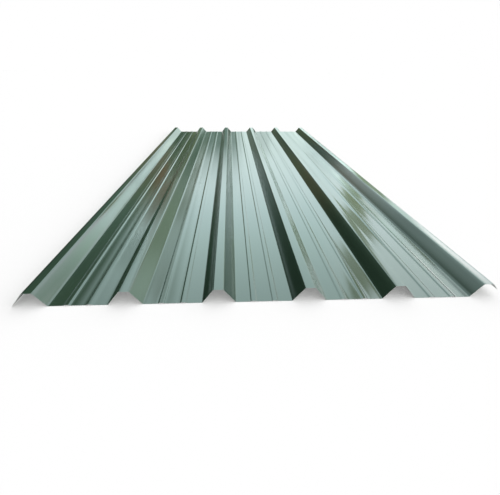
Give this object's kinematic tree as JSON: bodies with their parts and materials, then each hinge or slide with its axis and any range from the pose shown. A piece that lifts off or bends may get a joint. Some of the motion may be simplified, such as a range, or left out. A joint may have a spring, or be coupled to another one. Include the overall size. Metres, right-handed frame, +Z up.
{
  "type": "roofing sheet",
  "caption": "Box-profile roofing sheet: one thin coated steel strip rolled into trapezoidal ribs with flat stiffened pans and side-lap legs.",
  "frame": {"origin": "on the plane the pans rest on, under the middle of the sheet's overall width and length", "axes": "+X across the ribs, from the overlapping side rib to the underlapping one; +Y along the ribs; +Z up, out of the coated weather side"},
  "size_m": [1.059, 2.4, 0.0325],
  "materials": {
    "coated_steel": "glossy dark green polyester top coat on galvanised steel, grey backing coat underneath"
  },
  "bodies": {
    "root": {"roofing_sheet": "coated_steel"}
  },
  "joints": []
}
